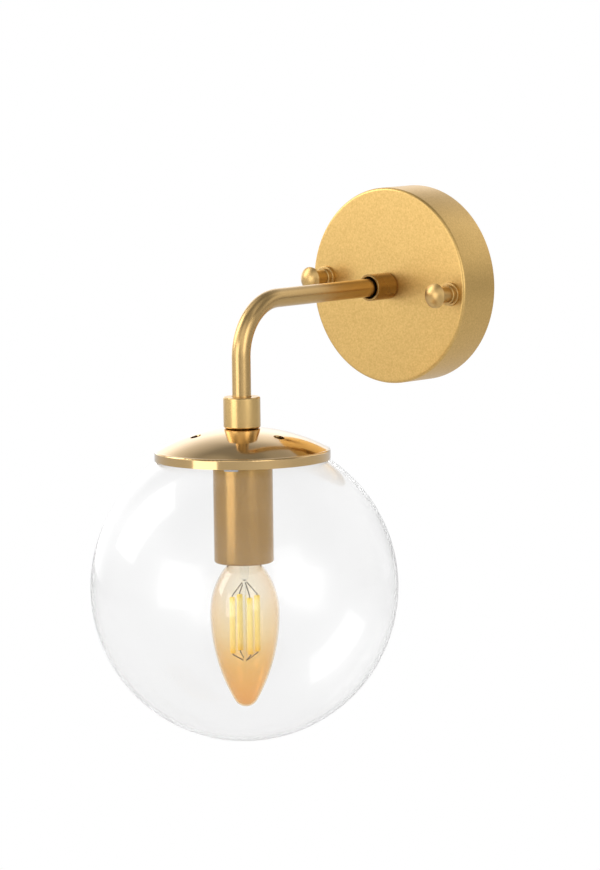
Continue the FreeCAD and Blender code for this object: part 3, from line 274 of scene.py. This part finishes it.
SEAL_RUBBER = moulded("seal_rubber", (0.66, 0.65, 0.62), (0.74, 0.73, 0.7), 0.5)
BROWN_WIRE = moulded("brown_wire", (0.08, 0.03, 0.012), (0.11, 0.045, 0.02), 0.35)
BLUE_WIRE = moulded("blue_wire", (0.012, 0.05, 0.28), (0.02, 0.075, 0.36), 0.35)
GREEN_WIRE = moulded("green_wire", (0.06, 0.22, 0.015), (0.09, 0.3, 0.03), 0.35)

FINISHES = {
    "satin_gold": SATIN_GOLD,
    "polished_gold": POLISHED_GOLD,
    "clear_glass": CLEAR_GLASS,
    "bulb_inner_glass": BULB_INNER_GLASS,
    "amber_glass": AMBER_GLASS,
    "filament_yellow": FILAMENT_COAT,
    "lead_metal": LEAD_METAL,
    "cap_metal": CAP_METAL,
    "cap_insulator": CAP_INSULATOR,
    "zinc_steel": ZINC_STEEL,
    "spring_steel": SPRING_STEEL,
    "bare_brass": BARE_BRASS,
    "holder_plastic": HOLDER_PLASTIC,
    "block_plastic": BLOCK_PLASTIC,
    "seal_rubber": SEAL_RUBBER,
    "brown_wire": BROWN_WIRE,
    "blue_wire": BLUE_WIRE,
    "green_wire": GREEN_WIRE,
}
SLOT_OF = {part["node"]: part["material_slot"] for part in frame["record"]["subparts"]}
BODY_OF = {node: body for body, nodes in frame["record"]["behaviour"]["bodies"].items()
           for node in nodes}


# --- modelling ----------------------------------------------------------------------------

def piece(name, bm, node, sharp=38.0, finish=None):
    """Makes the mesh an object that stands for a node and rides with it."""
    mesh = bpy.data.meshes.new(name)
    bm.to_mesh(mesh)
    bm.free()
    mesh.shade_smooth()
    mesh.set_sharp_from_angle(angle=math.radians(sharp))
    thing = bpy.data.objects.new(name, mesh)
    bpy.context.scene.collection.objects.link(thing)
    thing.data.materials.append(finish or FINISHES[SLOT_OF[node]])
    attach(thing, BODY_OF[node])
    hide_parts(node)
    return thing


def draw(bm, start, moves):
    """Edges in the XZ plane: a move is a point to draw to, or an arc (centre, degrees, steps)."""
    first = here = bm.verts.new((start[0]*MM, 0, start[1]*MM))
    for move in moves:
        if len(move) == 2:
            there = bm.verts.new((move[0]*MM, 0, move[1]*MM))
            bm.edges.new((here, there))
            here = there
        else:
            across, up, degrees, steps = move
            swung = bmesh.ops.spin(bm, geom=[here], cent=(across*MM, 0, up*MM), axis=(0, -1, 0),
                                   angle=math.radians(degrees), steps=steps)
            here = [g for g in swung["geom_last"] if isinstance(g, bmesh.types.BMVert)][0]
    return first, here


def ease_edges(bm, width_mm, angle=35.0, segments=3):
    """Rounds every edge that is sharper than the angle."""
    edges = [edge for edge in bm.edges
             if len(edge.link_faces) == 2 and edge.calc_face_angle(0) > math.radians(angle)]
    bmesh.ops.bevel(bm, geom=edges, offset=width_mm*MM, segments=segments, profile=0.5,
                    affect="EDGES", clamp_overlap=True, material=-1)


def lathe(start, moves, steps=96, ease=0.0):
    """A turned solid about Z from a closed outline."""
    bm = bmesh.new()
    first, last = draw(bm, start, moves)
    if (first.co - last.co).length > 1e-7 and first.co.x + last.co.x > 1e-7:
        bm.edges.new((last, first))
    bmesh.ops.remove_doubles(bm, verts=bm.verts, dist=1e-7)
    bmesh.ops.spin(bm, geom=bm.verts[:] + bm.edges[:], cent=(0, 0, 0), axis=(0, 0, 1),
                   angle=math.tau, steps=steps, use_merge=True)
    bmesh.ops.remove_doubles(bm, verts=bm.verts, dist=1e-7)
    bmesh.ops.recalc_face_normals(bm, faces=bm.faces)
    if ease:
        ease_edges(bm, ease)
    return bm


def to_stem(bm):
    """Moves a turned piece onto the stem's axis."""
    bmesh.ops.translate(bm, verts=bm.verts, vec=STEM)
    return bm


def to_wall(bm, across=0.0):
    """Lays a turned piece on the wall's axis, its +Z outward, and out along the strap."""
    bmesh.ops.rotate(bm, verts=bm.verts, cent=(0, 0, 0), matrix=Matrix.Rotation(math.pi/2, 3, "X"))
    offset = Vector((across*math.cos(CANOPY_TURN), 0, -across*math.sin(CANOPY_TURN)))*MM
    bmesh.ops.translate(bm, verts=bm.verts, vec=offset)
    return bm


# --- the pieces in sight ------------------------------------------------------------------

def canopy():
    """The round cup on the wall with its eased front edge."""
    radius, wall, ease = 51.0, 1.2, 1.6
    rim, inside, ceiling = radius - ease, radius - wall, CANOPY_FACE - wall
    bm = lathe((THREAD_HOLE, CANOPY_FACE), [
        (rim, CANOPY_FACE), (rim, CANOPY_FACE - ease, -90, 8), (radius, 0.0), (inside, 0.0),
        (inside, ceiling), (THREAD_HOLE, ceiling)], steps=160)
    return piece("canopy_cup", to_wall(bm), "wall_canopy", 50.0)


def collar():
    """The open sleeve round the arm."""
    radius, bore, end, chamfer, lip = 6.9, 5.7, 40.4, 0.6, 0.25
    bm = lathe((THREAD_HOLE, CANOPY_FACE), [
        (radius - chamfer, CANOPY_FACE), (radius, CANOPY_FACE + chamfer), (radius, end - lip),
        (radius - lip, end), (bore + lip, end), (bore, end - lip), (bore, ARM_START),
        (THREAD_HOLE, ARM_START)])
    return piece("collar_sleeve", to_wall(bm), "arm_collar", finish=SHADED_COLLAR_GOLD)


def thumb_washer(side, across):
    """A loose washer under a thumb nut."""
    hole, radius, ease = 2.2, 6.1, 0.25
    bm = lathe((hole, CANOPY_FACE), [(radius, CANOPY_FACE), (radius, WASHER_FACE),
                                     (hole, WASHER_FACE)], 64, ease)
    return piece("washer_disc_" + side, to_wall(bm, across), "thumb_washer_" + side,
                 finish=NUT_GOLD)


def thumb_nut(side, across):
    """A domed thumb nut with its waisted neck."""
    bore, bore_end, waist, flare, lip = 2.0, 37.6, 4.1, 1.8, 0.4
    foot, foot_end, ease = 5.0, 28.7, 0.3
    neck_end, head, head_edge, head_end = 35.5, 6.35, 37.5, 38.0
    dome_centre, dome_turn = 31.883, 46.07
    bm = lathe((0.0, bore_end), [
        (bore, bore_end), (bore, WASHER_FACE), (foot, WASHER_FACE), (foot, foot_end - ease),
        (foot - ease, foot_end), (waist, foot_end), (waist, neck_end),
        (waist + flare, neck_end, -85, 8), (head - lip, neck_end + flare), (head, head_edge),
        (head, head_end), (0.0, dome_centre, dome_turn, 14)], 64)
    return piece("nut_head_" + side, to_wall(bm, across), "thumb_nut_" + side, finish=NUT_GOLD)


def pull(bm, edges, vec):
    """Draws a ring of edges out along a straight run, and gives the ring at its far end."""
    made = bmesh.ops.extrude_edge_only(bm, edges=edges)["geom"]
    verts = {g for g in made if isinstance(g, bmesh.types.BMVert)}
    bmesh.ops.translate(bm, verts=list(verts), vec=Vector(vec)*MM)
    return [g for g in made if isinstance(g, bmesh.types.BMEdge) and set(g.verts) <= verts]


def bent_wall(bm, radius):
    """One wall of the arm: straight out, round the bend and down."""
    turn = Matrix.Translation((0, -ARM_START*MM, 0)) @ Matrix.Rotation(math.pi/2, 4, "X")
    ring = bmesh.ops.create_circle(bm, segments=64, radius=radius*MM, cap_ends=False, matrix=turn)
    edges = list({edge for vert in ring["verts"] for edge in vert.link_edges})
    edges = pull(bm, edges, (0, ARM_START + BEND_RADIUS - ARM_REACH, 0))
    verts = list({vert for edge in edges for vert in edge.verts})
    centre = Vector((0, BEND_RADIUS - ARM_REACH, -BEND_RADIUS))*MM
    swung = bmesh.ops.spin(bm, geom=verts + edges, cent=centre, axis=(1, 0, 0),
                           angle=math.pi/2, steps=32)
    edges = [g for g in swung["geom_last"] if isinstance(g, bmesh.types.BMEdge)]
    pull(bm, edges, (0, 0, BEND_RADIUS + STEM_END))


def arm():
    """The bent arm tube, open at both ends."""
    bm = bmesh.new()
    bent_wall(bm, ARM_RADIUS)
    bent_wall(bm, ARM_BORE)
    rims = [edge for edge in bm.edges if len(edge.link_faces) == 1]
    half_way = -ARM_REACH*MM/2
    for near_wall in (True, False):
        ends = [edge for edge in rims if (edge.verts[0].co.y > half_way) == near_wall]
        bmesh.ops.bridge_loops(bm, edges=ends)
    bmesh.ops.recalc_face_normals(bm, faces=bm.faces)
    return piece("arm_bent_tube", bm, "arm_tube", finish=ARM_GOLD)


def coupler():
    """The turned coupler with its recess round the tube."""
    radius, recess, thread, bore = 9.3, 5.1, 5.0, 4.0
    top, foot, thread_top, chamfer, ease = -47.6, -63.2, -56.2, 0.5, 0.9
    bm = lathe((recess, STEM_END), [
        (recess, top), (radius - chamfer, top), (radius, top - chamfer), (radius, foot + ease),
        (radius - ease, foot + ease, -90, 8), (thread, foot), (thread, thread_top),
        (bore, thread_top), (bore, STEM_END)])
    return piece("coupler_barrel", to_stem(bm), "stem_coupler",
                 finish=LIT_COUPLER_GOLD)


def socket_tube():
    """The tube over the lampholder, rolled in at its lower edge."""
    radius, wall, hole, mouth = 15.0, 0.9, 5.2, 12.6
    top, foot, shoulder, curl = -66.055, -131.355, 1.5, 1.3
    bm = lathe((hole, top), [
        (radius - shoulder, top), (radius - shoulder, top - shoulder, -90, 8),
        (radius, foot + curl), (radius - curl, foot + curl, -90, 10), (mouth, foot),
        (mouth, foot + wall), (radius - wall, foot + wall), (radius - wall, top - wall),
        (hole, top - wall)])
    return piece("socket_tube", to_stem(bm), "socket_cover", finish=COVER_GOLD)


def bulb_envelope():
    """The candle bulb's glass, one skin of even thickness."""
    neck, wall, shoulder_start = 8.0, 0.8, -132.18
    tip_height, tip_turn = BULB_TIP + 6.5, 60.31
    side_centre, side_turn = -72.784, 29.69
    shoulder_centre, outer_turn, inner_turn = -20.5, 41.41, 41.87
    bm = lathe((0.0, BULB_TIP), [
        (0.0, tip_height, tip_turn, 12), (side_centre, BULB_SWELL, side_turn, 28),
        (shoulder_centre, BULB_SWELL, outer_turn, 18), (neck, BULB_MOUTH),
        (neck - wall, BULB_MOUTH), (neck - wall, shoulder_start),
        (shoulder_centre, BULB_SWELL, -inner_turn, 18), (side_centre, BULB_SWELL, -side_turn, 28),
        (0.0, tip_height, -tip_turn, 12)], 96)
    return piece("candle_envelope", to_stem(bm), "bulb_glass", 60.0)


def mast():
    """The glass stem inside the bulb."""
    foot, rod, rod_top = -182.21, 0.9, -140.71
    waist, waist_foot, hip, hip_height = 1.98, -139.61, 2.34, -133.01
    skirt, skirt_foot, ease = 6.6, -129.71, 0.2
    bm = lathe((0.0, foot), [
        (rod, foot), (rod, rod_top), (waist, waist_foot), (hip, hip_height), (skirt, skirt_foot),
        (skirt, BULB_MOUTH), (0.0, BULB_MOUTH)], 48, ease)
    return piece("glass_mast", to_stem(bm), "bulb_mast", 60.0)


def filaments():
    """Four coated sticks with rounded ends round the mast."""
    first_turn, from_mast, middle = 64, 6.7, -162.96
    radius, length, ease = 1.45*MM, 28.7*MM, 0.6
    bm = bmesh.new()
    for quarter in range(4):
        angle = math.radians(first_turn + 90*quarter)
        centre = Vector((from_mast*math.cos(angle), from_mast*math.sin(angle), middle))*MM
        bmesh.ops.create_cone(bm, cap_ends=True, segments=28, radius1=radius, radius2=radius,
                              depth=length, matrix=Matrix.Translation(centre))
    ease_edges(bm, ease, 60.0, 4)
    return piece("filament_sticks", to_stem(bm), "bulb_filaments")


def globe():
    """The blown globe: one skin of even thickness, its opening's edge fire-polished."""
    outer, wall, opening, height = 77.5, 1.8, 30.0, -143.962
    outer_angle = math.degrees(math.acos(opening/outer))
    inner_angle = math.degrees(math.acos(opening/(outer - wall)))
    inner_z = height + math.sqrt((outer - wall)**2 - opening**2)
    bm = lathe((0.0, height - outer), [
        (0.0, height, 90 + outer_angle, 108),
        (opening, inner_z),
        (0.0, height, -90 - inner_angle, 108),
    ], steps=256)
    ease_edges(bm, 0.6, 30.0, 4)
    return piece("clear_globe", to_stem(bm), "globe_glass", 60.0)


STRAP_SIDES = (("left", -STRAP_REACH), ("right", STRAP_REACH))
PIECES = [canopy(), collar(), arm(), coupler(), globe(), socket_tube(), bulb_envelope(), mast(),
          filaments()]
PIECES += [thumb_washer(side, across) for side, across in STRAP_SIDES]
PIECES += [thumb_nut(side, across) for side, across in STRAP_SIDES]

for name, node in frame["nodes"].items():
    node.data.materials.clear()
    node.data.materials.append(FINISHES[SLOT_OF[name]])


# --- studio -------------------------------------------------------------------------------

FLOOR_HEIGHT = -0.36
CAMERA_PLACE = (1.38724, -1.69683, 0.17754)
CAMERA_TURN = (40.913, 6.7, 0.762)
CAMERA_LENS = 251.14
LAMP_MIDDLE = (0, -0.14, -0.14)
# The surroundings' brightness as reflections see it, and how many patches it falls into.
ROOM_DARK, ROOM_LIGHT, ROOM_PATCHES = 0.3, 1.2, 1.6
# Where the surroundings are brighter: direction, cosines where it starts and is full, gain.
BRIGHT_SIDES = (((-0.756, -0.655, 0.0), 0.6, 0.95, 0.7),
                ((-0.85, 0.5, 0.15), 0.75, 0.97, 0.9))


def seen_directly(owner):
    """A socket that is 1 for rays from the camera and through glass."""
    nodes, links = owner.node_tree.nodes, owner.node_tree.links
    path = nodes.new("ShaderNodeLightPath")
    seen = nodes.new("ShaderNodeMath")
    seen.operation = "MAXIMUM"
    links.new(path.outputs["Is Camera Ray"], seen.inputs[0])
    links.new(path.outputs["Is Transmission Ray"], seen.inputs[1])
    return seen.outputs["Value"]


def bright_side(nodes, links, place, direction, start, full, gain):
    """Extra brightness of the surroundings round one direction."""
    towards = nodes.new("ShaderNodeVectorMath")
    towards.operation = "DOT_PRODUCT"
    towards.inputs[1].default_value = direction
    links.new(place.outputs["Generated"], towards.inputs[0])
    glow = nodes.new("ShaderNodeMapRange")
    glow.inputs["From Min"].default_value = start
    glow.inputs["From Max"].default_value = full
    glow.inputs["To Max"].default_value = gain
    links.new(towards.outputs["Value"], glow.inputs["Value"])
    return glow.outputs["Result"]


def backdrop_world():
    """A white background for the camera and softer grey surroundings for reflections."""
    world = bpy.data.worlds.new("studio")
    bpy.context.scene.world = world
    world.use_nodes = True
    nodes, links = world.node_tree.nodes, world.node_tree.links
    background = nodes["Background"]
    place = nodes.new("ShaderNodeTexCoord")
    room = nodes.new("ShaderNodeTexNoise")
    room.inputs["Scale"].default_value = ROOM_PATCHES
    room.inputs["Detail"].default_value = 1.0
    links.new(place.outputs["Generated"], room.inputs["Vector"])
    around = nodes.new("ShaderNodeMapRange")
    around.inputs["From Min"].default_value = 0.36
    around.inputs["From Max"].default_value = 0.64
    around.inputs["To Min"].default_value = ROOM_DARK
    around.inputs["To Max"].default_value = ROOM_LIGHT
    links.new(room.outputs["Fac"], around.inputs["Value"])
    level = around.outputs["Result"]
    for direction, start, full, gain in BRIGHT_SIDES:
        total = nodes.new("ShaderNodeMath")
        links.new(level, total.inputs[0])
        links.new(bright_side(nodes, links, place, direction, start, full, gain), total.inputs[1])
        level = total.outputs["Value"]
    strength = nodes.new("ShaderNodeMapRange")
    strength.inputs["To Max"].default_value = 1.0
    links.new(level, strength.inputs["To Min"])
    links.new(seen_directly(world), strength.inputs["Value"])
    links.new(strength.outputs["Result"], background.inputs["Strength"])
    background.inputs["Color"].default_value = (1, 1, 1, 1)


def softbox(name, place, target, width, height, watts):
    """A rectangular soft lamp turned towards a point."""
    lamp = bpy.data.lights.new(name, "AREA")
    lamp.shape = "RECTANGLE"
    lamp.size = width
    lamp.size_y = height
    lamp.energy = watts
    holder = bpy.data.objects.new(name, lamp)
    bpy.context.scene.collection.objects.link(holder)
    holder.location = place
    aim = Vector(target) - Vector(place)
    holder.rotation_euler = aim.to_track_quat("-Z", "Y").to_euler()
    return holder


def floor():
    """A pale floor below the lamp."""
    bm = bmesh.new()
    bmesh.ops.create_grid(bm, x_segments=2, y_segments=2, size=3.0)
    bmesh.ops.translate(bm, verts=bm.verts, vec=(0, -0.1, FLOOR_HEIGHT))
    mesh = bpy.data.meshes.new("floor")
    bm.to_mesh(mesh)
    bm.free()
    thing = bpy.data.objects.new("floor", mesh)
    bpy.context.scene.collection.objects.link(thing)
    material, bsdf, output = shader("pale_floor")
    bsdf.inputs["Base Color"].default_value = (0.82, 0.82, 0.82, 1)
    bsdf.inputs["Roughness"].default_value = 0.8
    nodes = material.node_tree.nodes
    glow = nodes.new("ShaderNodeEmission")
    mix = nodes.new("ShaderNodeMixShader")
    join(material, seen_directly(material), mix.inputs["Fac"])
    join(material, bsdf.outputs["BSDF"], mix.inputs[1])
    join(material, glow.outputs["Emission"], mix.inputs[2])
    join(material, mix.outputs["Shader"], output.inputs["Surface"])
    mesh.materials.append(material)


def camera():
    """The camera at the photograph's place."""
    azimuth, elevation, roll = (math.radians(a) for a in CAMERA_TURN)
    right = Vector((math.cos(azimuth), math.sin(azimuth), 0))
    back = Vector((math.sin(azimuth)*math.cos(elevation), -math.cos(azimuth)*math.cos(elevation),
                   math.sin(elevation)))
    up = back.cross(right)
    turned_right = right*math.cos(roll) - up*math.sin(roll)
    turned_up = right*math.sin(roll) + up*math.cos(roll)
    data = bpy.data.cameras.new("camera")
    data.sensor_fit = "HORIZONTAL"
    data.sensor_width = 36.0
    data.lens = CAMERA_LENS
    data.clip_end = 20.0
    holder = bpy.data.objects.new("camera", data)
    bpy.context.scene.collection.objects.link(holder)
    turn = Matrix((turned_right, turned_up, back)).transposed().to_4x4()
    holder.matrix_world = Matrix.Translation(CAMERA_PLACE) @ turn
    bpy.context.scene.camera = holder


backdrop_world()
floor()
camera()
softbox("key_left", (-1.09, -0.63, 0.59), LAMP_MIDDLE, width=0.7, height=1.0, watts=6.0)
softbox("front", (-0.2, -1.52, -0.02), LAMP_MIDDLE, width=0.86, height=0.91, watts=4.8)
softbox("fill_right", (1.9, -0.6, 0.5), (0, -0.1, -0.1), width=0.9, height=1.3, watts=5.8)

bpy.context.scene.view_settings.view_transform = "Standard"
